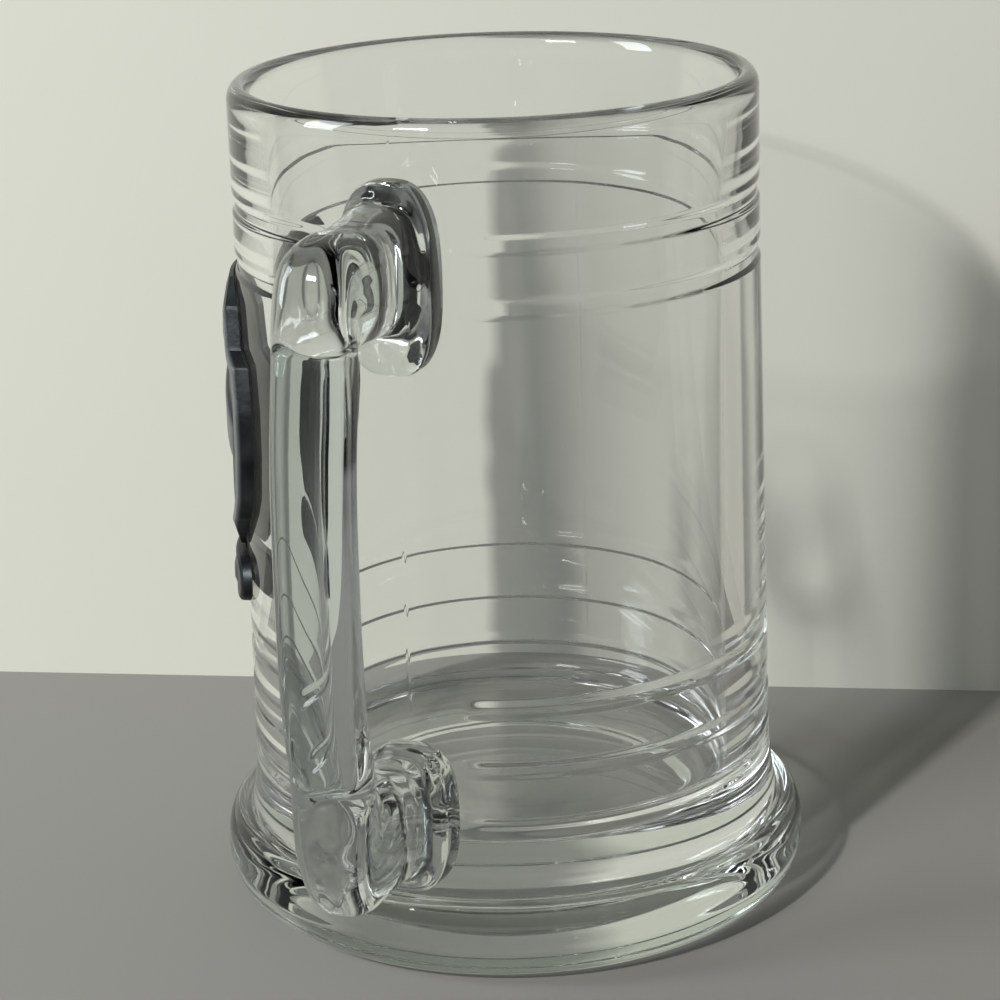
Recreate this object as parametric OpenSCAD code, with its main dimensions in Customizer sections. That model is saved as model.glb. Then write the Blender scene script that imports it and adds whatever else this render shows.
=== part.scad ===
// Ringed glass tankard with an applied glass handle and a curved cast badge.
// Millimetres. Z is up, the mug stands on Z = 0 and its axis is the Z axis.
// The handle lies in the XZ plane on the +X side, the badge faces -Y.

/* [Glass body] */
// Height from the table to the top of the lip
mug_height = 140; // [134:1:160]
// Outer radius of the barrel where it starts above the foot
barrel_low_radius = 44.4; // [44:0.1:45]
// Outer radius of the barrel near the lip
barrel_top_radius = 43.2; // [42.6:0.1:43.8]
// Wall thickness at the lip
lip_thickness = 3.8; // [2.6:0.1:4.4]
// Height over which the lip is rounded, a half ellipse in section
lip_height = 2.8; // [1.4:0.1:3.6]
// Inner radius of the hollow at the bottom of the wall
inner_low_radius = 37.3; // [37:0.1:38.5]
// Depth below the lip over which the wall thickens
flare_depth = 24; // [16:1:40]
// Height of the inner floor above the table
floor_height = 20; // [16:0.5:24]
// Radius of the fillet between inner wall and inner floor
floor_fillet = 6.5; // [3:0.5:10]

/* [Foot] */
// Largest radius of the rounded foot
foot_radius = 50; // [48.5:0.25:52]
// Height of the widest line of the foot
foot_belly = 8; // [6:0.5:9]
// Height of the crease between foot and cove
foot_height = 14.6; // [13:0.2:16]
// Radius of the crease between foot and cove
crease_radius = 46.5; // [46:0.1:47.5]
// Outer radius of the ring that the mug stands on
stand_radius = 42; // [38:0.5:43]
// Inner radius of the ring that the mug stands on
punt_radius = 34; // [28:0.5:36]
// Depth of the hollow under the mug
punt_depth = 1.2; // [0.6:0.1:2]

/* [Ring grooves] */
// Depth of the four ring grooves in the barrel
groove_depth = 0.5; // [0.2:0.05:0.8]
// Radius of the tool that leaves the ring grooves
groove_tool = 2.4; // [1.6:0.1:3]
// Height of the topmost groove
groove_top = 120.8; // [119.5:0.1:122]
// Spacing of the two grooves in each pair
groove_pitch = 9.9; // [9:0.1:10.2]
// Height of the upper groove of the low pair
groove_low = 46; // [45:0.1:47]
// Height of the sharper groove where barrel and foot meet
foot_groove = 26.4; // [26:0.1:27]
// Half angle of the plain land beside the upper handle pad
land_upper = 16; // [13:0.5:24]
// Half angle of the plain land beside the lower handle pad
land_lower = 12; // [12:0.5:24]

/* [Handle] */
// Extra reach of the grip away from the barrel
grip_reach = 0; // [0:0.5:8]
// Factor on the width of the handle
grip_width = 1; // [0.85:0.05:1.1]
// Sharpness of the softened eight-sided section
section_power = 9; // [6:1:14]

/* [Badge] */
// Angle by which the badge is turned from straight sideways towards the handle
badge_turn = 8; // [0:0.5:10]
// Half width of the shield, measured flat
shield_half = 25.5; // [24:0.5:29]
// Thickness of the shield's field
field_thickness = 1.5; // [1.2:0.1:1.8]
// Thickness of the shield's raised border and relief
border_thickness = 2.2; // [2:0.1:2.8]
// Width of the raised border
border_width = 2.2; // [1.6:0.1:3]
// Half width of the lower bar, measured flat
bar_half = 21; // [18:0.5:24]
// Thickness of the lower bar
bar_thickness = 1.7; // [1.4:0.1:2.2]
// Thickness of the glue films
glue = 0.3; // [0.2:0.05:0.5]

/* [Hidden] */

$fn = 180;

barrel_z0 = 25.6;              // the barrel starts above the cove
barrel_z1 = 118;               // above this it runs straight up to the lip
lip_r = lip_thickness / 2;
lip_c = barrel_top_radius - lip_r;
inner_top = barrel_top_radius - lip_thickness;

// Outer radius of the barrel, a very slight cone
function barrel_r(z) = z > barrel_z1 ? barrel_top_radius
    : barrel_low_radius + (barrel_top_radius - barrel_low_radius) * (z - barrel_z0) / (barrel_z1 - barrel_z0);

// Superellipse quarter, u and v from 0 to 1
function super_v(u, p) = pow(1 - pow(u, p), 1 / p);

// Outer outline from the standing ring to the barrel
function foot_low() = [for (i = [0:10]) let (a = 9 * i)
    [stand_radius + (foot_radius - stand_radius) * sin(a), foot_belly * (1 - cos(a))]];
function foot_up() = [for (i = [1:8]) let (u = sin(90 * i / 8))
    [crease_radius + (foot_radius - crease_radius) * super_v(u, 2.5), foot_belly + (foot_height - foot_belly) * u]];
cove_k = 0.93;
function cove() = [for (i = [1:10]) let (t = 1 - i / 10, w = (1 - sqrt(1 - pow(cove_k * t, 2))) / (1 - sqrt(1 - cove_k * cove_k)))
    [barrel_low_radius + (crease_radius - barrel_low_radius) * w, barrel_z0 - (barrel_z0 - foot_height) * t]];
function outer_low() = concat(foot_low(), foot_up(), cove());

// Rounded lip, from outside over the top to inside
function lip() = [for (i = [0:12]) let (a = 15 * i) [lip_c + lip_r * cos(a), mug_height - lip_height + lip_height * sin(a)]];

// Inner side of the lip, then the flare down to the thicker wall
function flare() = [[inner_top, mug_height - 4], [inner_low_radius + 0.2, mug_height - flare_depth]];

// Inner wall, fillet and floor
function inner() = concat(
    [for (i = [0:8]) let (a = 90 * i / 8)
        [inner_low_radius - floor_fillet + floor_fillet * cos(a), floor_height + floor_fillet - floor_fillet * sin(a)]],
    [[0, floor_height]]);

// Hollow under the mug, from the axis out to the standing ring
function punt() = [[0, punt_depth], [punt_radius - 3, punt_depth], [punt_radius - 1, punt_depth * 0.55], [punt_radius, 0]];

// One ring groove as a torus arc with ball ends, leaving a plain land at the handle
module ring_groove(z, depth, tool, land) {
    ring = barrel_r(z) + tool - depth;
    rotate([0, 0, land]) rotate_extrude(angle = 360 - 2 * land) translate([ring, z]) circle(tool, $fn = 48);
    for (s = [-1, 1]) rotate([0, 0, s * land]) translate([ring, 0, z]) sphere(tool, $fn = 48);
}

module glass_body() color([0.80, 0.86, 0.84, 0.45])
    difference() {
        rotate_extrude() polygon(concat(punt(), outer_low(), [[barrel_top_radius, barrel_z1]], lip(), flare(), inner()));
        ring_groove(groove_top, groove_depth, groove_tool, land_upper);
        ring_groove(groove_top - groove_pitch, groove_depth, groove_tool, land_upper);
        ring_groove(groove_low, groove_depth, groove_tool, land_lower);
        ring_groove(groove_low - groove_pitch, groove_depth, groove_tool, land_lower);
        ring_groove(foot_groove, 0.55, 1.2, land_lower);
    }

// Solid envelope of the body, used to seat the handle pads on the glass
module envelope()
    rotate_extrude() polygon(concat([[0, 0]], outer_low(), [[barrel_top_radius, barrel_z1], [barrel_top_radius, mug_height - 4], [0, mug_height - 4]]));

// Handle route: distance from the axis, height, heading, half width, half depth
route = [
    [41, 116, 0, 7.7, 15.2], [45.6, 116, 0, 7.7, 15.2], [47.6, 116.3, 0, 7.3, 14], [50, 117.1, 0, 6.6, 11.4],
    [54, 118.4, 0, 6.1, 9.6], [60.5, 118.6, 0, 6, 8.9], [67, 118.9, -5, 6, 9], [71, 118.1, -24, 6, 8.4],
    [72.5, 114.2, -48, 6.1, 6.3], [73, 109.6, -70, 6.2, 5.1], [73.9, 104, -78, 6.3, 4.8], [75.1, 96.5, -83, 6.3, 4.6],
    [75.9, 87, -87, 6.3, 4.5], [76.2, 74, -90, 6.3, 4.5], [76.1, 62, -92, 6.3, 4.6], [75.3, 53.5, -97, 6.3, 4.7],
    [74.2, 46.5, -97, 6.3, 4.9], [73.8, 41, -110, 6.2, 5.8], [73.2, 36.9, -133, 6.1, 7.6], [71.4, 33.2, -155, 6, 9.5],
    [68.2, 32.3, -170, 6, 10.4], [63, 32, -178, 6, 10.3], [57, 31, -182, 6, 9.9], [53, 29.6, -184, 6.2, 10.2],
    [50.4, 28.8, -182, 6.9, 11], [48.8, 28.5, -178, 7.4, 11.8], [47.2, 28.5, -175, 7.7, 12.3], [41, 28.5, -172, 7.7, 12.3]];
steps = 3;
sides = 32;
last = len(route) - 1;
function stop(i) = route[max(0, min(last, i))];
function spline(a, b, c, d, t) = 0.5 * (2 * b + (c - a) * t + (2 * a - 5 * b + 4 * c - d) * t * t + (3 * b - a - 3 * c + d) * t * t * t);
stations = concat([for (i = [0:last - 1], k = [0:steps - 1]) spline(stop(i - 1), stop(i), stop(i + 1), stop(i + 2), k / steps)], [stop(last)]);

// Softened eight-sided section: distance from its centre at angle q, for unit half sizes
bevel = 0.8 * sqrt(2);
function face_part(q, k) = pow(max(0, cos(q - 45 * k) / (k % 2 == 0 ? 1 : bevel)), section_power);
function reach(q) = pow(face_part(q, 0) + face_part(q, 1) + face_part(q, 2) + face_part(q, 3)
    + face_part(q, 4) + face_part(q, 5) + face_part(q, 6) + face_part(q, 7), -1 / section_power);
// Extra reach is shared out over the arms and carried in full by the grip
function pull(r) = grip_reach * max(0, min(1, (r - 50) / 22));
function ring(s) = [for (j = [0:sides - 1]) let (q = 360 * j / sides, m = reach(q), v = s[4] * m * sin(q))
    [s[0] + pull(s[0]) - v * sin(s[2]), s[3] * grip_width * m * cos(q), s[1] + v * cos(s[2])]];

module handle_sweep() {
    n = len(stations);
    points = [for (s = stations) each ring(s)];
    skin = [for (i = [0:n - 2], j = [0:sides - 1]) let (k = (j + 1) % sides, a = i * sides + j, b = i * sides + k, c = b + sides, d = a + sides)
        each [[a, d, c], [a, c, b]]];
    polyhedron(points, concat([[for (j = [0:sides - 1]) j]], skin, [[for (j = [sides - 1:-1:0]) (n - 1) * sides + j]]), convexity = 6);
}

module glass_handle() color([0.72, 0.82, 0.84, 0.6])
    difference() {
        handle_sweep();
        envelope();
    }

// Curved plate around the barrel, between two offsets from the glass, thinning to its upper and lower edge
module shell(z0, z1, d0, d1, slope = 0.01, thin = 0.5)
    rotate_extrude() polygon([[barrel_r(z0) + d0, z0], [barrel_r(z0) + min(d1, d0 + thin), z0],
        [barrel_r(z0 + slope) + d1, z0 + slope], [barrel_r(z1 - slope) + d1, z1 - slope],
        [barrel_r(z1) + min(d1, d0 + thin), z1], [barrel_r(z1) + d0, z1]]);

// A flat outline raised straight out on the badge's side
module face_on() rotate([0, 0, badge_turn]) rotate([90, 0, 0]) linear_extrude(60) children();

// Shield outline: half width at each height, from the top edge down to the foot
shield_top = 109.2;
shield_tip = 62.2;
shield_mid = 88;
shield_side = [[0, 108.6], [0.42, 108.8], [0.6, 108.6], [0.76, 104.5], [0.81, 97.5], [0.96, 95.5], [1, 88], [1, 80], [0.97, 73], [0.9, 69.5], [0.66, 63], [0, 62.2]];
function half_line(k) = [for (i = [1:len(shield_side) - 2]) [k * shield_side[i][0] * shield_half, shield_mid + k * (shield_side[i][1] - shield_mid)]];
function shield_line(k) = concat([[0, shield_mid + k * (shield_side[0][1] - shield_mid)]], half_line(k),
    [[0, shield_mid + k * (shield_tip - shield_mid)]],
    [for (i = [len(shield_side) - 3:-1:0]) let (p = half_line(k)[i]) [-p[0], p[1]]]);
inner_k = 1 - border_width / shield_half;

module emblem_shield() color([0.26, 0.28, 0.30])
    union() {
        intersection() {
            shell(62, 109.4, glue, glue + field_thickness, 6);
            face_on() polygon(shield_line(1));
        }
        intersection() {
            shell(62, 109.4, glue, glue + border_thickness, 6);
            face_on() union() {
                difference() {
                    polygon(shield_line(1));
                    polygon(shield_line(inner_k));
                }
                polygon([[-22, 79], [0, 91], [22, 79], [22, 85], [0, 97], [-22, 85]]);
                for (p = [[-11.5, 99], [11.5, 99], [0, 76.5]]) translate(p) circle(3.6, $fn = 48);
            }
        }
    }

bar_z = 57.4;
bar_h = 3.9;
module bar_outline()
    union() {
        translate([-bar_half + 3, bar_z - bar_h]) square([2 * bar_half - 6, 2 * bar_h]);
        for (s = [-1, 1]) translate([s * (bar_half - 3), bar_z]) circle(bar_h, $fn = 48);
    }

module emblem_bar() color([0.22, 0.24, 0.26])
    union() {
        intersection() {
            shell(52, 63, glue, glue + bar_thickness);
            face_on() bar_outline();
        }
        intersection() {
            shell(52, 63, glue, glue + bar_thickness + 0.4);
            face_on() translate([-bar_half + 4, bar_z - 1.2]) square([2 * bar_half - 8, 2.4]);
        }
    }

module shield_adhesive() color([0.86, 0.86, 0.80])
    intersection() {
        shell(61, 110, 0, glue);
        face_on() polygon(shield_line(0.96));
    }

module bar_adhesive() color([0.82, 0.82, 0.76])
    intersection() {
        shell(52, 63, 0, glue);
        face_on() translate([-bar_half + 2, bar_z - bar_h + 0.5]) square([2 * bar_half - 4, 2 * bar_h - 1]);
    }

glass_body();
glass_handle();
emblem_shield();
emblem_bar();
shield_adhesive();
bar_adhesive();
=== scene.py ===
import math
import bpy
import numpy as np
from mathutils import Matrix, Vector, geometry


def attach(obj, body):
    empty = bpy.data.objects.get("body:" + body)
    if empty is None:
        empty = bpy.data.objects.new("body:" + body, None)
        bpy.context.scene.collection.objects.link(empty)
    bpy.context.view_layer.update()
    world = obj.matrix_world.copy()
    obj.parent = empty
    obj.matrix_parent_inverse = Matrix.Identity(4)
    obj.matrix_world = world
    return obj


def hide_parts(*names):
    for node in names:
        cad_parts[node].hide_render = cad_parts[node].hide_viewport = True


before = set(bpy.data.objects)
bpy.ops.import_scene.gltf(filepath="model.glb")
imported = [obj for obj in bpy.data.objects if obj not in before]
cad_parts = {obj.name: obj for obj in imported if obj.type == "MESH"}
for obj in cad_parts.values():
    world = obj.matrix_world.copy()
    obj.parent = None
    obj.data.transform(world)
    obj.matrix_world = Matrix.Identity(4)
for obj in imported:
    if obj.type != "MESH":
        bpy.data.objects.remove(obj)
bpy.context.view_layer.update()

scene = bpy.context.scene
MM = 0.001

# ------------------------------------------------------------------ camera
# The camera stands 21.5 degrees round from the handle's plane and looks down on the mug.
TURN = math.radians(21.5)
OUT = np.array([math.cos(TURN), math.sin(TURN), 0.0])       # from the axis towards the camera
SIDE = np.array([-math.sin(TURN), math.cos(TURN), 0.0])     # to the right in the picture
UP = np.array([0.0, 0.0, 1.0])
PITCH, YAW, ROLL = math.radians(17.73), math.radians(-0.11), math.radians(1.84)
eye = OUT * 0.48024 + UP * 0.22055
ahead = -OUT * (math.cos(YAW) * math.cos(PITCH)) + SIDE * (math.sin(YAW) * math.cos(PITCH)) - UP * math.sin(PITCH)
right = SIDE * math.cos(YAW) + OUT * math.sin(YAW)
down = np.cross(ahead, right)
right2 = math.cos(ROLL) * right + math.sin(ROLL) * down
down2 = -math.sin(ROLL) * right + math.cos(ROLL) * down
cam_data = bpy.data.cameras.new("camera")
cam_data.sensor_width = 36.0
cam_data.lens = 107.03
cam_data.clip_start, cam_data.clip_end = 0.01, 20.0
cam = bpy.data.objects.new("camera", cam_data)
scene.collection.objects.link(cam)
m = Matrix.Identity(4)
for k, axis in enumerate((right2, -down2, -ahead)):
    for row in range(3):
        m[row][k] = axis[row]
for row in range(3):
    m[row][3] = eye[row]
cam.matrix_world = m
scene.camera = cam


# ------------------------------------------------------------------ helpers
def signed_volume(verts, faces):
    v = np.asarray(verts)
    total = 0.0
    for f in faces:
        for a, b in zip(f[1:-1], f[2:]):
            total += np.dot(v[f[0]], np.cross(v[a], v[b]))
    return total / 6.0


def add_mesh(name, verts_mm, faces, slots=None, sharp=None, smooth=True, closed=True):
    """A mesh object from points in millimetres, with closed ones facing outwards."""
    if closed and signed_volume(verts_mm, faces) < 0:
        faces = [tuple(reversed(f)) for f in faces]
    me = bpy.data.meshes.new(name)
    me.from_pydata([tuple(v) for v in np.asarray(verts_mm) * MM], [], faces)
    if slots is not None:
        me.polygons.foreach_set("material_index", np.asarray(slots, dtype=np.int32))
    if smooth:
        me.polygons.foreach_set("use_smooth", np.ones(len(me.polygons), dtype=bool))
    me.update()
    if sharp is not None:
        me.set_sharp_from_angle(angle=math.radians(sharp))
    ob = bpy.data.objects.new(name, me)
    scene.collection.objects.link(ob)
    return ob


def smoothstep(a, b, x):
    t = np.clip((np.asarray(x, float) - a) / (b - a), 0.0, 1.0)
    return t * t * (3 - 2 * t)


def wave(x, y, z, k):
    """Smooth wandering value between about -1 and 1."""
    return (np.sin(k * (1.00 * x + 0.31 * z) + 0.7) * np.cos(k * (0.83 * y - 0.27 * z) + 1.9)
            + 0.6 * np.sin(k * (0.57 * z + 0.41 * x) + 2.3) + 0.4 * np.cos(k * (1.27 * y + 0.73 * x) - 0.4)) / 2.0


# ------------------------------------------------------------------ glass body
H = 140.0
BL, BT, BZ0, BZ1 = 44.4, 43.2, 25.6, 118.0
LIP, LIP_TALL = 1.9, 2.8
FOOT_R, BELLY, FOOT_H, CREASE, STAND, PUNT, PUNT_D = 50.0, 8.0, 14.6, 46.5, 42.0, 34.0, 1.2
IN_LOW, FLOOR, FILLET = 37.3, 20.0, 6.5
FLARE, FLARE_R, LIP_BAND = 24.0, 37.5, 4.0
COVE_K = 0.93
# height, depth, length of the steep lower flank, of the flat, of flat and soft upper flank, land half angle, its fade in degrees
GROOVES = [(119.9, 0.42, 0.9, 1.3, 3.0, 11.0, 14.0), (110.0, 0.42, 0.9, 1.3, 3.0, 11.0, 14.0),
           (45.5, 0.45, 0.9, 0.8, 2.6, 12.0, 4.0), (35.2, 0.45, 0.9, 0.8, 2.6, 12.0, 3.0), (26.4, 0.55, 1.0, 0.2, 1.6, 12.0, 3.0)]


def barrel_r(z):
    z = np.asarray(z, float)
    return np.where(z > BZ1, BT, BL + (BT - BL) * (z - BZ0) / (BZ1 - BZ0))


def outer_profile():
    """Points (r, z) up the outside, from the middle of the underside to the top of the lip."""
    pts = [(r, PUNT_D) for r in (0.0, 4, 8, 12, 16, 20, 24, 27, 29, 30)]
    for t in np.linspace(0, 1, 9)[1:]:
        pts.append((30 + 4 * t, PUNT_D * (0.5 + 0.5 * math.cos(math.pi * t)) * (1 - 0.0 * t)))
    for r in (35, 36, 37.5, 39, 40.5, 41.4):
        pts.append((r, 0.0))
    for a in np.linspace(0, 90, 25):
        a = math.radians(a)
        pts.append((STAND + (FOOT_R - STAND) * math.sin(a), BELLY * (1 - math.cos(a))))
    for b in np.linspace(0, 90, 22)[1:]:
        u = math.sin(math.radians(b))
        pts.append((CREASE + (FOOT_R - CREASE) * (max(0.0, 1 - u ** 2.5)) ** 0.4, BELLY + (FOOT_H - BELLY) * u))
    top = 1 - math.sqrt(1 - COVE_K ** 2)
    for i in range(1, 27):
        t = 1 - i / 26
        t = t ** 1.0
        w = (1 - math.sqrt(1 - (COVE_K * t) ** 2)) / top
        pts.append((BL + (CREASE - BL) * w, BZ0 - (BZ0 - FOOT_H) * t))
    zs = list(np.arange(BZ0 + 0.2, H - LIP_TALL - 0.3, 1.6))
    for zg, _, lo, _, hi, _, _ in GROOVES:
        zs = [z for z in zs if not zg - lo - 0.25 < z < zg + hi + 0.3]
        zs += list(np.linspace(zg - lo - 0.1, zg, 9)) + list(np.linspace(zg, zg + hi + 0.15, 17))[1:]
    zs = sorted(z for z in zs if z > BZ0 + 0.1)
    pts += [(float(barrel_r(z)), z) for z in zs]
    for a in np.linspace(0, 90, 15):
        a = math.radians(a)
        pts.append((BT - LIP + LIP * math.cos(a), H - LIP_TALL + LIP_TALL * math.sin(a)))
    return np.array(pts)


def inner_profile():
    """Points (r, z) down the inside, from the top of the lip to the middle of the floor."""
    pts = []
    for a in np.linspace(90, 180, 15)[1:]:
        a = math.radians(a)
        pts.append((BT - LIP + LIP * math.cos(a), H - LIP_TALL + LIP_TALL * math.sin(a)))
    r_top, z_top, z_low = BT - 2 * LIP, H - LIP_TALL, FLOOR + FILLET
    # below the lip's band the wall thickens in a flare, with a short bend at its top and a long one at its foot
    zs = list(np.linspace(z_top, H - LIP_BAND - 2.4, 17)[1:]) + list(np.linspace(H - LIP_BAND - 2.4, H - FLARE - 7, 25)[1:])
    zs += list(np.linspace(H - FLARE - 7, z_low, 40)[1:-1])
    for z in zs:
        ease = 0.9 if z > H - LIP_BAND - 4 else 5.0
        k = np.minimum(z + ease * np.linspace(-1, 1, 9), z_top)
        r = np.interp(k, [z_low, H - FLARE, H - LIP_BAND, z_top], [IN_LOW, FLARE_R, r_top, r_top])
        pts.append((float(np.mean(r)), float(z)))
    for a in np.linspace(0, 90, 19):
        a = math.radians(a)
        pts.append((IN_LOW - FILLET + FILLET * math.cos(a), z_low - FILLET * math.sin(a)))
    for r in (30, 28, 25, 21, 17, 13, 9, 5, 2.2):
        pts.append((r, FLOOR))
    pts.append((0.0, FLOOR))
    return np.array(pts)


def columns():
    """Angles round the mug, closer together at the two mould seams."""
    base = np.linspace(-math.pi, math.pi, 321)[:-1]
    near = math.radians(0.85)
    fine = np.linspace(-near, near, 25)
    out = [a for a in base if abs(a) > near * 1.3 and abs(abs(a) - math.pi) > near * 1.3]
    out += list(fine) + [(math.pi + f) if f < 0 else (-math.pi + f) for f in fine]
    return np.array(sorted(out))


def seam_window(z):
    return np.maximum(smoothstep(44.0, 47.0, z) * (1 - smoothstep(96.5, 99.5, z)), smoothstep(132.8, 133.8, z) * (1 - smoothstep(136.0, 137.6, z)))


def outer_point(r, z, th):
    """The finished outside: grooves that fade out beside the handle pads, mould seams, slight waviness."""
    r, z, th = np.broadcast_arrays(np.asarray(r, float), np.asarray(z, float), np.asarray(th, float))
    d = np.zeros(r.shape)
    wide = np.degrees(np.abs(th))
    on_wall = r > 42.5
    for zg, depth, lo, flat, hi, land, fade in GROOVES:
        t = z - zg
        s = smoothstep(-lo, 0.0, t) * (1 - smoothstep(flat, hi, t))
        d = d - depth * s * smoothstep(land, land + fade, wide) * on_wall
    arc = r * np.minimum(np.abs(th), np.pi - np.abs(th))
    front = np.where(np.abs(th) < 1.5, seam_window(z), smoothstep(27.0, 29.0, z) * (1 - smoothstep(136.0, 137.6, z)))
    d = d + 0.028 * np.exp(-(arc / 0.22) ** 2) * front * on_wall
    x, y = r * np.cos(th), r * np.sin(th)
    body = smoothstep(44.0, 50.0, z) * (1 - smoothstep(96.0, 104.0, z))
    d = d + 0.03 * wave(x, y, z, 0.11) * body * on_wall * smoothstep(14.0, 26.0, wide)
    rr = r + d
    return np.stack([rr * np.cos(th), rr * np.sin(th), z * np.ones(r.shape)], -1)


def inner_point(r, z, th):
    r, z, th = np.broadcast_arrays(np.asarray(r, float), np.asarray(z, float), np.asarray(th, float))
    x, y = r * np.cos(th), r * np.sin(th)
    wall = smoothstep(24.0, 40.0, z) * (1 - smoothstep(124.0, 136.0, z))
    d = 0.07 * wave(x + 9, y - 5, 0.6 * z, 0.10) * wall
    rr = np.where(r > 1e-6, r + d, 0.0)
    floor = np.where(z < FLOOR + 0.01, 0.10 * wave(x, y, 7.0, 0.16), 0.0)
    return np.stack([rr * np.cos(th), rr * np.sin(th), z + floor], -1)


# Handle route: distance from the axis, height, heading, half width, half depth
ROUTE = np.array([
    (41, 116, 0, 7.7, 15.2), (45.6, 116, 0, 7.7, 15.2), (47.6, 116.3, 0, 7.3, 14), (50, 117.1, 0, 6.6, 11.4),
    (54, 118.4, 0, 6.1, 9.6), (60.5, 118.6, 0, 6, 8.9), (67, 118.9, -5, 6, 9), (71, 118.1, -24, 6, 8.4),
    (72.5, 114.2, -48, 6.1, 6.3), (73, 109.6, -70, 6.2, 5.1), (73.9, 104, -78, 6.3, 4.8), (75.1, 96.5, -83, 6.3, 4.6),
    (75.9, 87, -87, 6.3, 4.5), (76.2, 74, -90, 6.3, 4.5), (76.1, 62, -92, 6.3, 4.6), (75.3, 53.5, -97, 6.3, 4.7),
    (74.2, 46.5, -97, 6.3, 4.9), (73.8, 41, -110, 6.2, 5.8), (73.2, 36.9, -133, 6.1, 7.6), (71.4, 33.2, -155, 6, 9.5),
    (68.2, 32.3, -170, 6, 10.4), (63, 32, -178, 6, 10.3), (57, 31, -182, 6, 9.9), (53, 29.6, -184, 6.2, 10.2),
    (50.4, 28.8, -182, 6.9, 11), (48.8, 28.5, -178, 7.4, 11.8), (47.2, 28.5, -175, 7.7, 12.3), (41, 28.5, -172, 7.7, 12.3)], float)
SIDES, STEPS = 96, 6


def section(q, power=9.0, bevel=0.8 * math.sqrt(2)):
    """Softened eight-sided section of unit half sizes: distance from its centre at angle q."""
    total = 0.0
    for k in range(8):
        total = total + np.maximum(0.0, np.cos(q - k * math.pi / 4) / (1.0 if k % 2 == 0 else bevel)) ** power
    return total ** (-1.0 / power)


def stations():
    out = []
    n = len(ROUTE)
    for i in range(n - 1):
        a, b, c, d = (ROUTE[min(max(j, 0), n - 1)] for j in (i - 1, i, i + 1, i + 2))
        for k in range(STEPS):
            t = k / STEPS
            out.append(0.5 * (2 * b + (c - a) * t + (2 * a - 5 * b + 4 * c - d) * t * t + (3 * b - a - 3 * c + d) * t ** 3))
    out.append(ROUTE[-1])
    return np.array(out)


Q = np.arange(SIDES) / SIDES * 2 * math.pi
UNIT = section(Q)


def handle_ring(s, shrink=1.0):
    a = math.radians(s[2])
    v = s[4] * UNIT * np.sin(Q) * shrink
    return np.stack([s[0] - v * math.sin(a), s[3] * UNIT * np.cos(Q) * shrink, s[1] + v * math.cos(a)], 1)


OUTER = outer_profile()
INNER = inner_profile()
COLS = columns()
# the part of the outside that is a plain function of height
FIRST = int(np.argmax(OUTER[:, 0] >= FOOT_R - 1e-9))
WALL_Z, WALL_R = OUTER[FIRST:, 1], OUTER[FIRST:, 0]


def wall_r(z):
    return np.interp(z, WALL_Z, WALL_R)


def seat(ring, heading, gap):
    """Slides a pad's ring along its heading until it lies on the glass, a hair outside it."""
    a = math.radians(heading)
    d = np.array([math.cos(a), 0.0, math.sin(a)])
    if d[0] > 0:
        d = -d
    lo, hi = np.full(len(ring), -12.0), np.full(len(ring), 12.0)
    for _ in range(60):
        mid = (lo + hi) / 2
        p = ring + mid[:, None] * d
        inside = np.hypot(p[:, 0], p[:, 1]) < wall_r(p[:, 2]) + gap
        hi = np.where(inside, mid, hi)
        lo = np.where(inside, lo, mid)
    return ring + ((lo + hi) / 2)[:, None] * d


def build_handle():
    st = stations()
    upper, lower = ROUTE[1], ROUTE[-2]
    shrinks = (0.86, 0.70, 0.52, 0.34, 0.17)
    gap = 0.02
    rings = []
    # stations strictly between the two seated ends
    first = STEPS + 1
    last = len(st) - 1 - STEPS - 1
    top_edge = seat(handle_ring(upper), 0.0, gap)
    low_edge = seat(handle_ring(lower), lower[2], gap)
    # two extra rings carry the pad's straight edge down to the glass
    body = [top_edge]
    full_top = handle_ring(upper)
    body += [top_edge + (full_top - top_edge) * t for t in (0.25, 0.6, 1.0)]
    body += [handle_ring(s) for s in st[first:last + 1]]
    full_low = handle_ring(lower)
    body += [full_low + (low_edge - full_low) * t for t in (0.0, 0.4, 0.75)]
    body += [low_edge]
    caps_top = [seat(handle_ring(upper, k), 0.0, gap) for k in shrinks]
    caps_low = [seat(handle_ring(lower, k), lower[2], gap) for k in shrinks]
    mid_top = seat(np.array([[upper[0], 0.0, upper[1]]]), 0.0, gap)
    mid_low = seat(np.array([[lower[0], 0.0, lower[1]]]), lower[2], gap)
    all_rings = caps_top[::-1] + body + caps_low
    # slight hand-worked waviness away from the seats
    for i, ring in enumerate(all_rings):
        if len(caps_top) + 4 <= i < len(all_rings) - len(caps_low) - 4:
            c = ring.mean(0)
            n = ring - c
            n /= np.linalg.norm(n, axis=1)[:, None]
            all_rings[i] = ring - n * (0.05 + 0.05 * wave(ring[:, 0], 1.7 * ring[:, 1], ring[:, 2], 0.35))[:, None]
    verts = np.vstack(all_rings + [mid_top, mid_low])
    faces, slots = [], []
    n = len(all_rings)
    for i in range(n - 1):
        contact = i < len(caps_top) or i >= n - 1 - len(caps_low)
        for j in range(SIDES):
            k = (j + 1) % SIDES
            faces.append((i * SIDES + j, (i + 1) * SIDES + j, (i + 1) * SIDES + k, i * SIDES + k))
            slots.append(1 if contact else 0)
    a, b = n * SIDES, n * SIDES + 1
    for j in range(SIDES):
        k = (j + 1) % SIDES
        faces.append((a, j, k))
        slots.append(1)
        faces.append((b, (n - 1) * SIDES + k, (n - 1) * SIDES + j))
        slots.append(1)
    return verts, faces, slots, top_edge, low_edge


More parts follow.
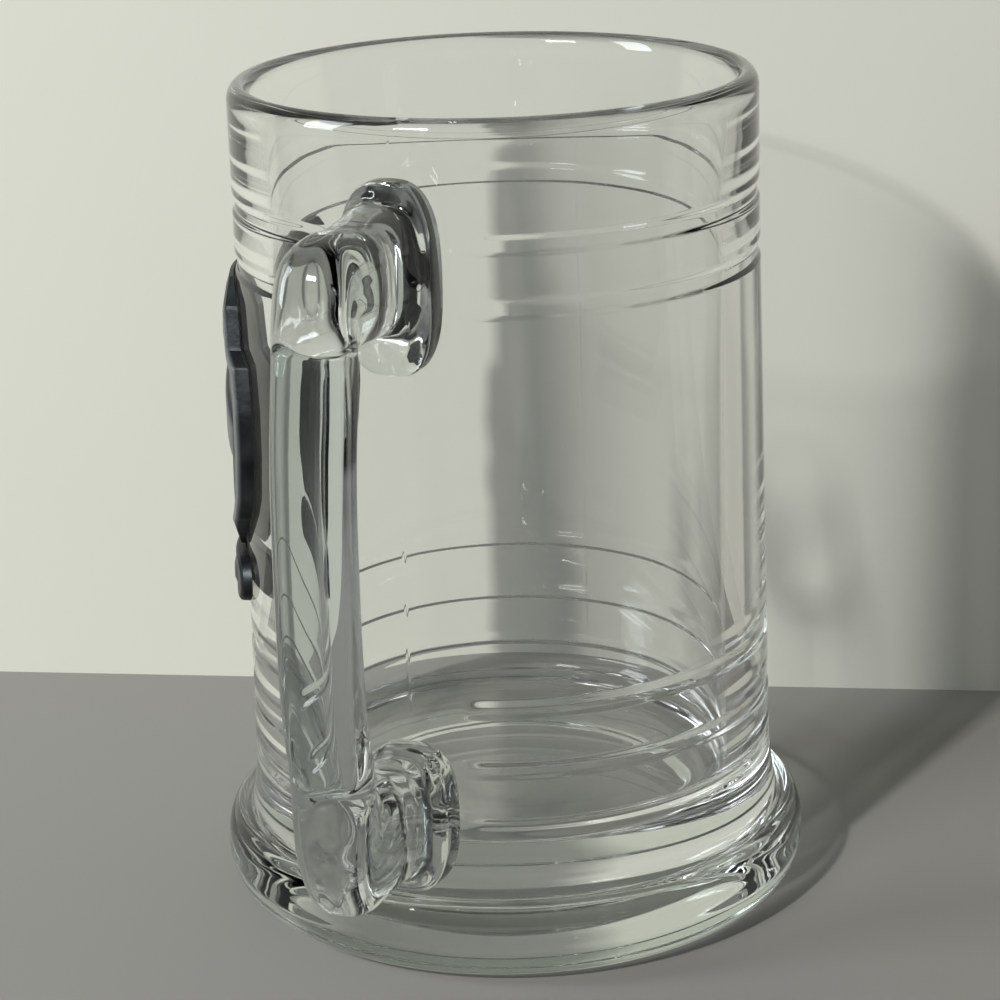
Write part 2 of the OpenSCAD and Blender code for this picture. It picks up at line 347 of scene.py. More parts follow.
def build_body(loops):
    nc, no = len(COLS), len(OUTER)
    verts, faces, slots = [], [], []
    # outside rows, with one point on the axis below
    grid = np.zeros((no, nc), int)
    pts = outer_point(OUTER[1:, 0][:, None], OUTER[1:, 1][:, None], COLS[None, :])
    verts.append(np.array([[0.0, 0.0, PUNT_D]]))
    base = 1
    for i in range(1, no):
        grid[i] = base + np.arange(nc)
        base += nc
    verts.append(pts.reshape(-1, 3))
    # inside rows, with one point on the axis above the floor
    ni = len(INNER)
    inn = np.zeros((ni, nc), int)
    pin = inner_point(INNER[:-1, 0][:, None], INNER[:-1, 1][:, None], COLS[None, :])
    for i in range(ni - 1):
        inn[i] = base + np.arange(nc)
        base += nc
    verts.append(pin.reshape(-1, 3))
    top = base
    verts.append(inner_point(np.array([0.0]), np.array([FLOOR]), np.array([0.0])))
    base += 1

    # windows in the outside, filled again with a mesh that holds the pad outlines
    row_t = np.concatenate([[0], np.cumsum(np.hypot(*np.diff(OUTER, axis=0).T))])
    windows = []
    for loop in loops:
        th = np.arctan2(loop[:, 1], loop[:, 0])
        z0, z1 = loop[:, 2].min(), loop[:, 2].max()
        rows = [i for i in range(FIRST, no) if OUTER[i, 1] < z0 - 0.25]
        i0 = rows[-1]
        i1 = [i for i in range(FIRST, no) if OUTER[i, 1] > z1 + 0.25][0]
        j0 = int(np.nonzero(COLS < th.min() - 0.012)[0][-1])
        j1 = int(np.nonzero(COLS > th.max() + 0.012)[0][0])
        windows.append((i0, i1, j0, j1, loop))

    def in_window(i, j):
        return any(i0 <= i < i1 and j0 <= j < j1 for i0, i1, j0, j1, _ in windows)

    for j in range(nc):
        k = (j + 1) % nc
        faces.append((0, grid[1, k], grid[1, j]))
        slots.append(0)
        for i in range(1, no - 1):
            if in_window(i, j):
                continue
            faces.append((grid[i, j], grid[i, k], grid[i + 1, k], grid[i + 1, j]))
            slots.append(0)
        faces.append((grid[no - 1, j], grid[no - 1, k], inn[0, k], inn[0, j]))
        slots.append(0)
        for i in range(ni - 2):
            faces.append((inn[i, j], inn[i, k], inn[i + 1, k], inn[i + 1, j]))
            slots.append(0)
        faces.append((inn[ni - 2, j], inn[ni - 2, k], top))
        slots.append(0)

    # fill the windows
    for i0, i1, j0, j1, loop in windows:
        scale = 44.0
        lt = np.interp(loop[:, 2], WALL_Z, row_t[FIRST:])
        lth = np.arctan2(loop[:, 1], loop[:, 0])
        flat, owner = [], []
        border = []
        for j in range(j0, j1 + 1):
            border.append((i0, j))
        for i in range(i0 + 1, i1 + 1):
            border.append((i, j1))
        for j in range(j1 - 1, j0 - 1, -1):
            border.append((i1, j))
        for i in range(i1 - 1, i0, -1):
            border.append((i, j0))
        for i, j in border:
            flat.append((COLS[j] * scale, row_t[i]))
            owner.append(grid[i, j])
        nb = len(border)
        loop_flat = np.stack([lth * scale, lt], 1)
        new_pts = outer_point(wall_r(loop[:, 2]), loop[:, 2], lth)
        verts.append(new_pts)
        loop_ids = base + np.arange(len(loop))
        base += len(loop)
        for p, o in zip(loop_flat, loop_ids):
            flat.append(tuple(p))
            owner.append(o)
        for i in range(i0 + 1, i1):
            last_x = -1e9
            for j in range(j0 + 1, j1):
                p = np.array([COLS[j] * scale, row_t[i]])
                if p[0] - last_x < 0.5:
                    continue
                if np.min(np.hypot(*(loop_flat - p).T)) < 0.45:
                    continue
                last_x = p[0]
                flat.append(tuple(p))
                owner.append(grid[i, j])
        edges = [(a, (a + 1) % nb) for a in range(nb)]
        edges += [(nb + a, nb + (a + 1) % len(loop)) for a in range(len(loop))]
        co, _, tris, orig, _, _ = geometry.delaunay_2d_cdt([Vector(p) for p in flat], edges, [], 0, 1e-7)
        back = [owner[o[0]] for o in orig]
        poly = loop_flat
        for t in tris:
            c = sum((co[v] for v in t), Vector((0, 0))) / 3
            x, y = poly[:, 0], poly[:, 1]
            x2, y2 = np.roll(x, -1), np.roll(y, -1)
            cross = ((y > c.y) != (y2 > c.y)) & (c.x < (x2 - x) * (c.y - y) / (y2 - y + 1e-12) + x)
            ids = [back[v] for v in t]
            a, b, d = (co[v] for v in t)
            if (b.x - a.x) * (d.y - a.y) - (b.y - a.y) * (d.x - a.x) < 0:
                ids.reverse()
            faces.append(tuple(ids))
            slots.append(1 if int(cross.sum()) % 2 == 1 else 0)
    verts = np.vstack(verts)
    # drop grid points that the windows no longer use
    used = np.zeros(len(verts), bool)
    for f in faces:
        for v in f:
            used[v] = True
    remap = np.cumsum(used) - 1
    faces = [tuple(int(remap[v]) for v in f) for f in faces]
    return verts[used], faces, slots


handle_v, handle_f, handle_s, edge_top, edge_low = build_handle()
body_v, body_f, body_s = build_body([edge_top, edge_low])
body = add_mesh("glass_body_fine", body_v, body_f, body_s)
handle = add_mesh("glass_handle_fine", handle_v, handle_f, handle_s, sharp=50)

# ------------------------------------------------------------------ badge
GLUE = 0.3
SHIELD_MID = 88.0
SHIELD_HALF = 25.5
BADGE_TURN = math.radians(8.0)
SHIELD_SIDE = np.array([(0.42, 108.8), (0.6, 108.6), (0.76, 104.5), (0.81, 97.5), (0.96, 95.5), (1, 88), (1, 80), (0.97, 73), (0.9, 69.5), (0.66, 63)])
SHIELD_HIGH, SHIELD_LOW = 108.6, 62.2


def shield_outline(n):
    right = SHIELD_SIDE * np.array([SHIELD_HALF, 1.0])
    loop = np.vstack([[(0, SHIELD_HIGH)], right, [(0, SHIELD_LOW)], right[::-1] * np.array([-1, 1])])
    seg = np.hypot(*(np.roll(loop, -1, 0) - loop).T)
    t = np.concatenate([[0], np.cumsum(seg)])
    loop = np.vstack([loop, loop[:1]])
    u = np.linspace(0, t[-1], n, endpoint=False)
    return np.stack([np.interp(u, t, loop[:, 0]), np.interp(u, t, loop[:, 1])], 1)


def dist_poly(p, poly, closed=True):
    """Distance from points to a polyline."""
    best = np.full(len(p), 1e9)
    m = len(poly)
    for i in range(m if closed else m - 1):
        a, b = poly[i], poly[(i + 1) % m]
        ab = b - a
        t = np.clip(((p - a) @ ab) / max(ab @ ab, 1e-12), 0, 1)
        best = np.minimum(best, np.linalg.norm(p - a - t[:, None] * ab, axis=1))
    return best


def on_barrel(xy, h):
    """Points of a flat outline raised straight on to the barrel, at a height over the glass."""
    r = barrel_r(xy[:, 1]) + h
    x, y = xy[:, 0], -np.sqrt(np.maximum(r * r - xy[:, 0] ** 2, 0.0))
    c, s = math.cos(BADGE_TURN), math.sin(BADGE_TURN)
    return np.stack([c * x - s * y, s * x + c * y, xy[:, 1]], 1)


def plate(name, outline, centre, ks, top_of):
    """A curved plate on the barrel: rings of one outline shrunk about a centre, raised by top_of, with a closed back."""
    m = len(outline)
    pts = []
    low = GLUE
    # back face, then the rim up the side, then the front
    for k in ks[::-1][:-1:6]:
        pts.append((centre + (outline - centre) * k, np.full(m, low)))
    pts.append((outline, np.full(m, low)))
    for k in ks:
        xy = centre + (outline - centre) * k
        pts.append((xy, GLUE + top_of(xy)))
    verts, faces = [], []
    for xy, h in pts:
        verts.append(on_barrel(xy, h))
    n = len(verts)
    verts = np.vstack(verts)
    for i in range(n - 1):
        for j in range(m):
            k = (j + 1) % m
            faces.append((i * m + j, i * m + k, (i + 1) * m + k, (i + 1) * m + j))
    c_back = len(verts)
    mid = centre[None, :]
    verts = np.vstack([verts, on_barrel(mid, low), on_barrel(mid, GLUE + top_of(mid))])
    for j in range(m):
        k = (j + 1) % m
        faces.append((c_back, k, j))
        faces.append((c_back + 1, (n - 1) * m + j, (n - 1) * m + k))
    return add_mesh(name, verts, faces, sharp=24)


SHIELD_LOOP = shield_outline(420)
SHIELD_C = np.array([0.0, SHIELD_MID])
CHEVRON = np.array([(-22, 82), (0, 94), (22, 82)], float)


def shield_top(p):
    d = dist_poly(p, SHIELD_LOOP[::2])
    # border: a narrow bevel at the edge, a flat, a slope down to the field
    h = np.interp(d, [0.0, 0.45, 1.9, 2.7, 5.0], [1.7, 2.2, 2.2, 1.3, 1.5])
    # chevron with sloped flanks
    c = dist_poly(p, CHEVRON, closed=False)
    h = h + 0.75 * np.clip((3.0 - c) / 0.9, 0, 1) * np.clip((d - 2.3) / 0.9, 0, 1)
    # three domed bosses
    for q in ((-11.5, 99.0), (11.5, 99.0), (0.0, 76.5)):
        rr = np.hypot(p[:, 0] - q[0], p[:, 1] - q[1])
        h = np.maximum(h, np.where(rr < 3.6, 1.5 + 0.75 * np.sqrt(np.clip(1 - (rr / 3.6) ** 2, 0, 1)), 0.0))
    h = h + 0.03 * wave(p[:, 0], p[:, 1], 0.0, 0.9) * smoothstep(2.0, 3.0, d)
    h = np.minimum(h, 2.2)
    # the casting thins towards its upper and lower edge
    taper = np.minimum(np.clip((109.2 - p[:, 1]) / 5.8, 0, 1), np.clip((p[:, 1] - 62.2) / 5.8, 0, 1))
    return np.minimum(h, 0.5 + 1.7 * taper)


ks = np.concatenate([[1.0, 0.996, 0.99], np.linspace(0.982, 0.88, 16), np.linspace(0.87, 0.03, 58)])
shield = plate("emblem_shield_fine", SHIELD_LOOP, SHIELD_C, ks, shield_top)

BAR_C = np.array([0.0, 57.4])


def bar_outline(n):
    half, r = 18.0, 3.9
    arc = math.pi * r
    per = 4 * half + 2 * arc
    out = []
    for u in np.linspace(0, per, n, endpoint=False):
        if u < 2 * half:
            out.append((half - u, 57.4 + r))
        elif u < 2 * half + arc:
            a = math.pi / 2 + (u - 2 * half) / r
            out.append((-half + r * math.cos(a), 57.4 + r * math.sin(a)))
        elif u < 4 * half + arc:
            out.append((-half + (u - 2 * half - arc), 57.4 - r))
        else:
            a = -math.pi / 2 + (u - 4 * half - arc) / r
            out.append((half + r * math.cos(a), 57.4 + r * math.sin(a)))
    return np.array(out)[::-1]


BAR_LOOP = bar_outline(260)


def bar_top(p):
    d = dist_poly(p, BAR_LOOP[::2])
    h = np.interp(d, [0.0, 0.4, 2.6], [1.3, 1.7, 1.7])
    ridge = np.abs(p[:, 1] - 57.4)
    ends = np.clip((17.0 - np.abs(p[:, 0])) / 0.9, 0, 1)
    h = h + 0.35 * np.clip((1.5 - ridge) / 0.7, 0, 1) * ends
    h = h + 0.02 * wave(p[:, 0], 2 * p[:, 1], 3.0, 0.9) * smoothstep(0.4, 0.9, d)
    return np.clip(h, 0.5, 2.1)


bar = plate("emblem_bar_fine", BAR_LOOP, BAR_C, np.concatenate([[1.0, 0.99], np.linspace(0.97, 0.04, 40)]), bar_top)


def film(name, outline, centre, inset):
    """A thin film between the glass and a plate, wetting the glass."""
    m = len(outline)
    verts, faces = [], []
    rows = []
    for k in (0.05, 0.35, 0.65, 0.9, 1.0):
        rows.append((k, -0.03))
    for k in (1.0, 0.9, 0.65, 0.35, 0.05):
        rows.append((k, GLUE))
    for k, h in rows:
        xy = centre + (outline - centre) * (k * inset)
        verts.append(on_barrel(xy, h))
    n = len(verts)
    verts = np.vstack(verts)
    for i in range(n - 1):
        for j in range(m):
            k = (j + 1) % m
            faces.append((i * m + j, i * m + k, (i + 1) * m + k, (i + 1) * m + j))
    faces.append(tuple(range(m - 1, -1, -1)))
    faces.append(tuple((n - 1) * m + j for j in range(m)))
    return add_mesh(name, verts, faces)


shield_film = film("shield_adhesive_fine", SHIELD_LOOP[::2], SHIELD_C, 0.96)
bar_film = film("bar_adhesive_fine", BAR_LOOP[::2], BAR_C, 0.93)


# ------------------------------------------------------------------ materials
def new_material(name):
    mat = bpy.data.materials.new(name)
    mat.use_nodes = True
    nt = mat.node_tree
    nt.nodes.clear()
    out = nt.nodes.new("ShaderNodeOutputMaterial")
    return mat, nt, out


def glass_material(name, tint, foot_glass_and_shade_tint, wave_scale, wave_height, through, barrel=None):
    """Clear glass; where foot_glass_and_shade_tint is given, the solid foot below the inner floor takes that darker
    tint: partly the green of thick glass, partly painted shade standing in for the dark ground seen through it.

    through is how much lamp light each surface lets by, from face-on to grazing. Between the two heights
    given in barrel it follows the round of the wall alone, not the flanks of the grooves."""
    mat, nt, out = new_material(name)
    p = nt.nodes.new("ShaderNodeBsdfPrincipled")
    p.inputs["Base Color"].default_value = (*tint, 1)
    p.inputs["Transmission Weight"].default_value = 1.0
    p.inputs["IOR"].default_value = 1.52
    co = nt.nodes.new("ShaderNodeTexCoord")
    # painted shade: the solid foot darkens, partly the green of thick glass and partly standing in for the dark ground
    # and contact shadow seen through it
    if foot_glass_and_shade_tint is not None:
        xyz = nt.nodes.new("ShaderNodeSeparateXYZ")
        nt.links.new(co.outputs["Object"], xyz.inputs[0])
        low = nt.nodes.new("ShaderNodeMapRange")
        low.interpolation_type = "SMOOTHSTEP"
        low.inputs["From Min"].default_value = 0.018
        low.inputs["From Max"].default_value = 0.013
        nt.links.new(xyz.outputs["Z"], low.inputs["Value"])
        mixt = nt.nodes.new("ShaderNodeMix")
        mixt.data_type = "RGBA"
        mixt.inputs["A"].default_value = (*tint, 1)
        mixt.inputs["B"].default_value = (*foot_glass_and_shade_tint, 1)
        nt.links.new(low.outputs["Result"], mixt.inputs["Factor"])
        nt.links.new(mixt.outputs["Result"], p.inputs["Base Color"])
    # faint handling haze
    n1 = nt.nodes.new("ShaderNodeTexNoise")
    n1.inputs["Scale"].default_value = 60.0
    n1.inputs["Detail"].default_value = 4.0
    ramp = nt.nodes.new("ShaderNodeMapRange")
    ramp.inputs["From Min"].default_value = 0.45
    ramp.inputs["From Max"].default_value = 0.8
    ramp.inputs["To Min"].default_value = 0.0
    ramp.inputs["To Max"].default_value = 0.025
    nt.links.new(co.outputs["Object"], n1.inputs["Vector"])
    nt.links.new(n1.outputs["Fac"], ramp.inputs["Value"])
    nt.links.new(ramp.outputs["Result"], p.inputs["Roughness"])
    # cooled-glass waviness
    n2 = nt.nodes.new("ShaderNodeTexNoise")
    n2.inputs["Scale"].default_value = wave_scale
    n2.inputs["Detail"].default_value = 2.0
    n2.inputs["Roughness"].default_value = 0.4
    bump = nt.nodes.new("ShaderNodeBump")
    bump.inputs["Strength"].default_value = 1.0
    bump.inputs["Distance"].default_value = wave_height
    nt.links.new(co.outputs["Object"], n2.inputs["Vector"])
    nt.links.new(n2.outputs["Fac"], bump.inputs["Height"])
    nt.links.new(bump.outputs["Normal"], p.inputs["Normal"])
    # lamps shine through the glass
    lp = nt.nodes.new("ShaderNodeLightPath")
    tr = nt.nodes.new("ShaderNodeBsdfTransparent")
    lw = nt.nodes.new("ShaderNodeLayerWeight")
    lw.inputs["Blend"].default_value = 0.5
    if barrel is not None:
        flat = nt.nodes.new("ShaderNodeVectorMath")
        flat.operation = "MULTIPLY"
        flat.inputs[1].default_value = (1, 1, 0)
        nt.links.new(co.outputs["Object"], flat.inputs[0])
        unit = nt.nodes.new("ShaderNodeVectorMath")
        unit.operation = "NORMALIZE"
        nt.links.new(flat.outputs["Vector"], unit.inputs[0])
        high = nt.nodes.new("ShaderNodeSeparateXYZ")
        nt.links.new(co.outputs["Object"], high.inputs[0])
        there = nt.nodes.new("ShaderNodeMath")
        there.operation = "COMPARE"
        there.inputs[1].default_value = (barrel[0] + barrel[1]) / 2
        there.inputs[2].default_value = (barrel[1] - barrel[0]) / 2
        nt.links.new(high.outputs["Z"], there.inputs[0])
        own = nt.nodes.new("ShaderNodeNewGeometry")
        pick = nt.nodes.new("ShaderNodeMixRGB")
        nt.links.new(there.outputs[0], pick.inputs[0])
        nt.links.new(own.outputs["Normal"], pick.inputs[1])
        nt.links.new(unit.outputs["Vector"], pick.inputs[2])
        nt.links.new(pick.outputs[0], lw.inputs["Normal"])
        # level faces, which are the inner floor and the underside, let nearly all of it by
        tilt = nt.nodes.new("ShaderNodeSeparateXYZ")
        nt.links.new(own.outputs["Normal"], tilt.inputs[0])
        size = nt.nodes.new("ShaderNodeMath")
        size.operation = "ABSOLUTE"
        nt.links.new(tilt.outputs["Z"], size.inputs[0])
        level = nt.nodes.new("ShaderNodeMath")
        level.operation = "GREATER_THAN"
        level.inputs[1].default_value = 0.9
        nt.links.new(size.outputs[0], level.inputs[0])
        clear = nt.nodes.new("ShaderNodeMixRGB")
        clear.inputs[2].default_value = (0.95, 0.95, 0.95, 1)
        nt.links.new(level.outputs[0], clear.inputs[0])
    cr = nt.nodes.new("ShaderNodeValToRGB")
    cr.color_ramp.elements[0].position = 0.15
    cr.color_ramp.elements[0].color = (through[0], through[0], through[0], 1)
    cr.color_ramp.elements[1].position = 0.90
    cr.color_ramp.elements[1].color = (through[3], through[3], through[3], 1)
    for at, level in ((0.38, through[1]), (0.62, through[2])):
        e = cr.color_ramp.elements.new(at)
        e.color = (level, level, level, 1)
    nt.links.new(lw.outputs["Facing"], cr.inputs["Fac"])
    if barrel is not None:
        nt.links.new(cr.outputs["Color"], clear.inputs[1])
        nt.links.new(clear.outputs[0], tr.inputs["Color"])
    else:
        nt.links.new(cr.outputs["Color"], tr.inputs["Color"])
    mx = nt.nodes.new("ShaderNodeMath")
    mx.operation = "MAXIMUM"
    nt.links.new(lp.outputs["Is Shadow Ray"], mx.inputs[0])
    nt.links.new(lp.outputs["Is Diffuse Ray"], mx.inputs[1])
    mix = nt.nodes.new("ShaderNodeMixShader")
    nt.links.new(mx.outputs[0], mix.inputs[0])
    nt.links.new(p.outputs[0], mix.inputs[1])
    nt.links.new(tr.outputs[0], mix.inputs[2])
    nt.links.new(mix.outputs[0], out.inputs["Surface"])
    return mat


def contact_material():
    """Faces where handle and body are one piece of glass: nothing shows."""
    mat, nt, out = new_material("fused_contact")
    tr = nt.nodes.new("ShaderNodeBsdfTransparent")
    tr.inputs["Color"].default_value = (1, 1, 1, 1)
    nt.links.new(tr.outputs[0], out.inputs["Surface"])
    return mat


def pewter_material():
    mat, nt, out = new_material("antique_pewter")
    p = nt.nodes.new("ShaderNodeBsdfPrincipled")
    p.inputs["Metallic"].default_value = 0.9
    co = nt.nodes.new("ShaderNodeTexCoord")
    geo = nt.nodes.new("ShaderNodeNewGeometry")
    n1 = nt.nodes.new("ShaderNodeTexNoise")
    n1.inputs["Scale"].default_value = 140.0
    n1.inputs["Detail"].default_value = 6.0
    n2 = nt.nodes.new("ShaderNodeTexNoise")
    n2.inputs["Scale"].default_value = 900.0
    n2.inputs["Detail"].default_value = 3.0
    ramp = nt.nodes.new("ShaderNodeValToRGB")
    ramp.color_ramp.elements[0].position = 0.30
    ramp.color_ramp.elements[0].color = (0.016, 0.019, 0.021, 1)
    ramp.color_ramp.elements[1].position = 0.75
    ramp.color_ramp.elements[1].color = (0.065, 0.071, 0.076, 1)
    nt.links.new(co.outputs["Object"], n1.inputs["Vector"])
    nt.links.new(co.outputs["Object"], n2.inputs["Vector"])
    nt.links.new(n1.outputs["Fac"], ramp.inputs["Fac"])
    wear = nt.nodes.new("ShaderNodeAttribute")
    wear.attribute_name = "wear"
    mixc = nt.nodes.new("ShaderNodeMix")
    mixc.data_type = "RGBA"
    nt.links.new(wear.outputs["Fac"], mixc.inputs["Factor"])
    nt.links.new(ramp.outputs["Color"], mixc.inputs["A"])
    mixc.inputs["B"].default_value = (0.30, 0.31, 0.32, 1)
    nt.links.new(mixc.outputs["Result"], p.inputs["Base Color"])
    mr = nt.nodes.new("ShaderNodeMapRange")
    mr.inputs["To Min"].default_value = 0.28
    mr.inputs["To Max"].default_value = 0.58
    nt.links.new(n1.outputs["Fac"], mr.inputs["Value"])
    nt.links.new(mr.outputs["Result"], p.inputs["Roughness"])
    bump = nt.nodes.new("ShaderNodeBump")
    bump.inputs["Strength"].default_value = 0.6
    bump.inputs["Distance"].default_value = 0.00012
    nt.links.new(n2.outputs["Fac"], bump.inputs["Height"])
    nt.links.new(bump.outputs["Normal"], p.inputs["Normal"])
    nt.links.new(p.outputs[0], out.inputs["Surface"])
    return mat


def film_material():
    mat, nt, out = new_material("grey_epoxy")
    p = nt.nodes.new("ShaderNodeBsdfPrincipled")
    co = nt.nodes.new("ShaderNodeTexCoord")
    n1 = nt.nodes.new("ShaderNodeTexNoise")
    n1.inputs["Scale"].default_value = 180.0
    n1.inputs["Detail"].default_value = 5.0
    ramp = nt.nodes.new("ShaderNodeValToRGB")
    ramp.color_ramp.elements[0].position = 0.35
    ramp.color_ramp.elements[0].color = (0.16, 0.165, 0.165, 1)
    ramp.color_ramp.elements[1].position = 0.7
    ramp.color_ramp.elements[1].color = (0.26, 0.265, 0.262, 1)
    nt.links.new(co.outputs["Object"], n1.inputs["Vector"])
    nt.links.new(n1.outputs["Fac"], ramp.inputs["Fac"])
    nt.links.new(ramp.outputs["Color"], p.inputs["Base Color"])
    mr = nt.nodes.new("ShaderNodeMapRange")
    mr.inputs["To Min"].default_value = 0.3
    mr.inputs["To Max"].default_value = 0.55
    nt.links.new(n1.outputs["Fac"], mr.inputs["Value"])
    nt.links.new(mr.outputs["Result"], p.inputs["Roughness"])
    nt.links.new(p.outputs[0], out.inputs["Surface"])
    return mat


def edge_wear(ob):
    """Brighter metal where the relief stands proud: stored per point from the height over the barrel."""
    me = ob.data
    co = np.empty(len(me.vertices) * 3)
    me.vertices.foreach_get("co", co)
    co = co.reshape(-1, 3) / MM
    h = np.hypot(co[:, 0], co[:, 1]) - barrel_r(co[:, 2]) - GLUE
    w = 0.8 * smoothstep(1.75, 2.2, h)
    at = me.attributes.new("wear", "FLOAT", "POINT")
    at.data.foreach_set("value", w.astype(np.float32))


# the body's foot tint (0.73, 0.79, 0.735) is partly thick-glass green and partly painted shade
body_glass = glass_material("clear_body_glass", (0.984, 0.990, 0.984), (0.73, 0.79, 0.735), 38.0, 0.00003, (0.95, 0.80, 0.32, 0.05), (0.0285, 0.1365))
# painted shade: the handle, the same clear glass as the body, takes a dark grey-green tint (0.70, 0.745, 0.735) that
# stands in for the dark surroundings seen through it
handle_glass = glass_material("handle_glass_painted_shade", (0.70, 0.745, 0.735), None, 90.0, 0.00004, (0.95, 0.84, 0.50, 0.15))
contact = contact_material()
pewter = pewter_material()
epoxy = film_material()
for ob, mats in ((body, (body_glass, contact)), (handle, (handle_glass, contact)), (shield, (pewter,)), (bar, (pewter,)),
                 (shield_film, (epoxy,)), (bar_film, (epoxy,))):
    slots_now = np.empty(len(ob.data.polygons), np.int32)
    ob.data.polygons.foreach_get("material_index", slots_now)
    for mat in mats:
        ob.data.materials.append(mat)
    ob.data.polygons.foreach_set("material_index", slots_now)
edge_wear(shield)
edge_wear(bar)

for ob, node, slot in ((body, "glass_body", "body_glass"), (handle, "glass_handle", "handle_glass"), (shield, "emblem_shield", "pewter"),
                       (bar, "emblem_bar", "pewter"), (shield_film, "shield_adhesive", "adhesive"), (bar_film, "bar_adhesive", "adhesive")):
    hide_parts(node)
    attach(ob, "root")


# ------------------------------------------------------------------ stage
def stage_material(name, colour, one_sided=False, far=None, fade_from=0.25, fade_to=1.0):
    mat, nt, out = new_material(name)
    p = nt.nodes.new("ShaderNodeBsdfPrincipled")
    p.inputs["Roughness"].default_value = 0.85
    p.inputs["Specular IOR Level"].default_value = 0.2
    co = nt.nodes.new("ShaderNodeTexCoord")
    n1 = nt.nodes.new("ShaderNodeTexNoise")
    n1.inputs["Scale"].default_value = 30.0
    n1.inputs["Detail"].default_value = 6.0
    mr = nt.nodes.new("ShaderNodeMix")
    mr.data_type = "RGBA"
    mr.inputs["A"].default_value = (*[c * 0.985 for c in colour], 1)
    mr.inputs["B"].default_value = (*colour, 1)
    nt.links.new(co.outputs["Object"], n1.inputs["Vector"])
    nt.links.new(n1.outputs["Fac"], mr.inputs["Factor"])
    nt.links.new(mr.outputs["Result"], p.inputs["Base Color"])
    if far is not None:
        # painted shade: the colour darkens away from the mug, standing in for the unlit room beyond the lamps
        ln = nt.nodes.new("ShaderNodeVectorMath")
        ln.operation = "LENGTH"
        nt.links.new(co.outputs["Object"], ln.inputs[0])
        fade = nt.nodes.new("ShaderNodeMapRange")
        fade.interpolation_type = "SMOOTHSTEP"
        fade.inputs["From Min"].default_value = fade_from
        fade.inputs["From Max"].default_value = fade_to
        nt.links.new(ln.outputs["Value"], fade.inputs["Value"])
        painted_far_shade = nt.nodes.new("ShaderNodeMix")
        painted_far_shade.data_type = "RGBA"
        nt.links.new(fade.outputs["Result"], painted_far_shade.inputs["Factor"])
        nt.links.new(mr.outputs["Result"], painted_far_shade.inputs["A"])
        painted_far_shade.inputs["B"].default_value = (*far, 1)
        nt.links.new(painted_far_shade.outputs["Result"], p.inputs["Base Color"])
    if one_sided:
        geo = nt.nodes.new("ShaderNodeNewGeometry")
        tr = nt.nodes.new("ShaderNodeBsdfTransparent")
        mix = nt.nodes.new("ShaderNodeMixShader")
        nt.links.new(geo.outputs["Backfacing"], mix.inputs[0])
        nt.links.new(p.outputs[0], mix.inputs[1])
        nt.links.new(tr.outputs[0], mix.inputs[2])
        nt.links.new(mix.outputs[0], out.inputs["Surface"])
    else:
        nt.links.new(p.outputs[0], out.inputs["Surface"])
    return mat


def bowl():
    """A wide floor that turns up into a low wall far from the mug."""
    rows = [(r, 0.0) for r in (0.0, 0.15, 0.4, 0.8, 1.2, 1.5)]
    for a in np.linspace(0, 90, 13)[1:]:
        a = math.radians(a)
        rows.append((1.5 + 0.7 * math.sin(a), 0.7 * (1 - math.cos(a))))
    rows.append((2.2, 1.3))
    n = 96
    verts, faces = [(0, 0, 0)], []
    for r, z in rows[1:]:
        verts += [(r * math.cos(2 * math.pi * j / n), r * math.sin(2 * math.pi * j / n), z) for j in range(n)]
    for j in range(n):
        faces.append((0, 1 + j, 1 + (j + 1) % n))
    for i in range(len(rows) - 2):
        for j in range(n):
            a, b = 1 + i * n + j, 1 + i * n + (j + 1) % n
            faces.append((a, a + n, b + n, b))
    v = np.array(verts) * 1000.0
    v[:, 2] -= 0.15
    return add_mesh("floor", v, faces, closed=False)


floor = bowl()
# painted shade: the floor darkens to (0.08, 0.08, 0.08) between 0.17 and 0.55 m from the mug, a painted pool of light
# round it
floor.data.materials.append(stage_material("pale_floor", (0.325, 0.32, 0.305), far=(0.08, 0.08, 0.08), fade_from=0.17, fade_to=0.55))


def backdrop():
    """A pale upright panel behind the mug, seen only from its front."""
    half, tall = 900.0, 700.0
    along = SIDE * math.cos(math.radians(8)) + OUT * math.sin(math.radians(8))
    back = -OUT * 88.0
    a = back - along * half
    b = back + along * half
    v = [a - UP * 0.15, b - UP * 0.15, b + UP * tall, a + UP * tall]
    return add_mesh("backdrop", np.array(v), [(0, 1, 2, 3)], smooth=False, closed=False)


wall = backdrop()
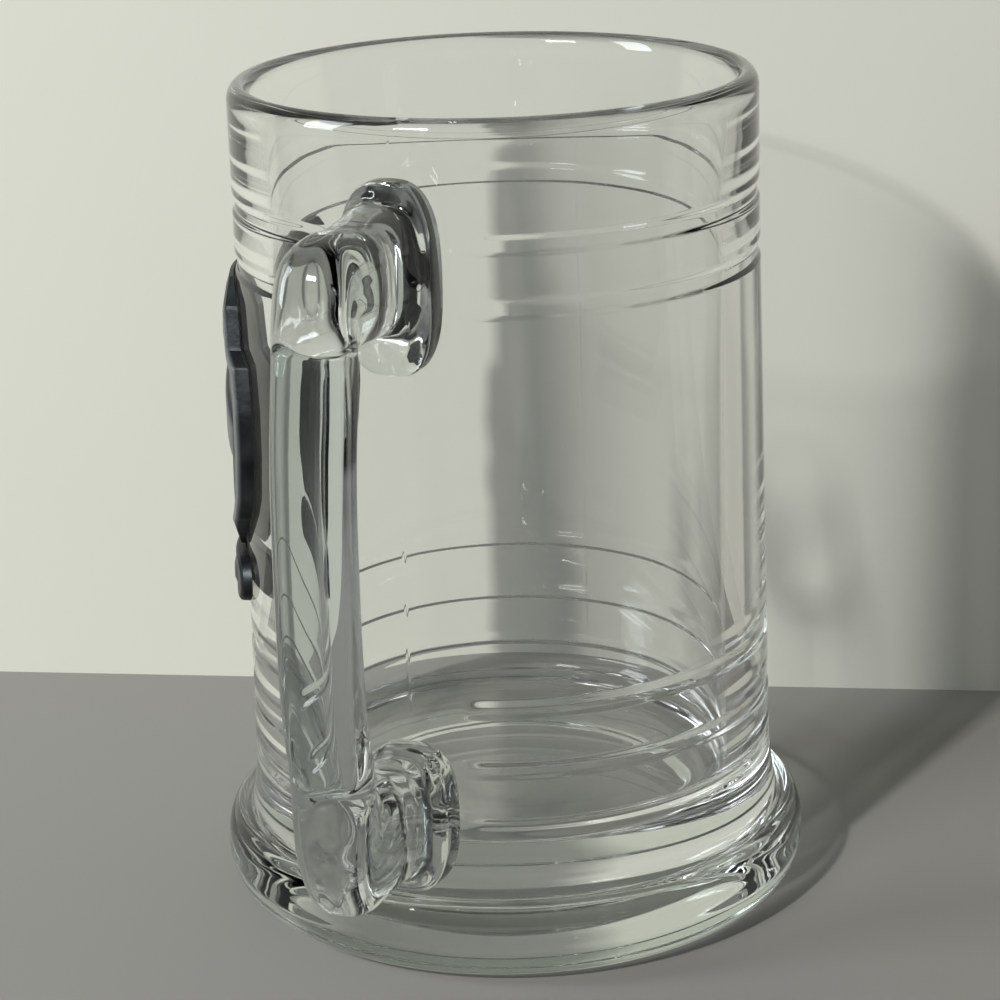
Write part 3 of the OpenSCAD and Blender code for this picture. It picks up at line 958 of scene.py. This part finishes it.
# painted shade: the backdrop darkens to (0.06, 0.06, 0.06) between 0.23 and 0.50 m from the mug, a painted pool of
# light round it
wall.data.materials.append(stage_material("pale_wall", (0.725, 0.73, 0.655), one_sided=True, far=(0.06, 0.06, 0.06), fade_from=0.23, fade_to=0.50))
wall.visible_shadow = False


def area(name, pos, target, size, power, colour=(1, 1, 1), size_y=None):
    data = bpy.data.lights.new(name, "AREA")
    data.energy = power
    data.color = colour
    data.shape = "RECTANGLE" if size_y else "SQUARE"
    data.size = size
    if size_y:
        data.size_y = size_y
    ob = bpy.data.objects.new(name, data)
    scene.collection.objects.link(ob)
    ob.location = Vector(pos)
    d = Vector(target) - Vector(pos)
    ob.rotation_mode = "QUATERNION"
    ob.rotation_quaternion = d.to_track_quat("-Z", "Y")
    return ob


def around(left, up, far):
    """A place as seen from the mug: degrees to the left of the camera, degrees up, metres away."""
    l, u = math.radians(left), math.radians(up)
    return (OUT * math.cos(l) - SIDE * math.sin(l)) * math.cos(u) * far + UP * (math.sin(u) * far + 0.07)


key = area("key", around(31, 31, 1.3), (0, 0, 0.07), 0.05, 10.4, (1.0, 0.985, 0.95))
lamp = area("lamp", around(37, 32, 1.3), (0, 0, 0.07), 0.30, 3.0, (1.0, 0.99, 0.97), 0.16)
window = area("window", around(78, 22, 1.3), (0, 0, 0.08), 0.36, 9.0, (0.90, 0.96, 1.0), 0.8)

world = bpy.data.worlds.new("studio")
world.use_nodes = True
bg = world.node_tree.nodes["Background"]
bg.inputs[0].default_value = (0.52, 0.54, 0.56, 1)
bg.inputs[1].default_value = 0.035
scene.world = world

scene.view_settings.view_transform = "Standard"
scene.view_settings.look = "None"
scene.cycles.use_denoising = True
scene.cycles.max_bounces = 32
scene.cycles.transmission_bounces = 32
scene.cycles.glossy_bounces = 12
scene.cycles.diffuse_bounces = 4
scene.cycles.transparent_max_bounces = 48
scene.cycles.caustics_reflective = False
scene.cycles.caustics_refractive = False
scene.cycles.sample_clamp_indirect = 8.0
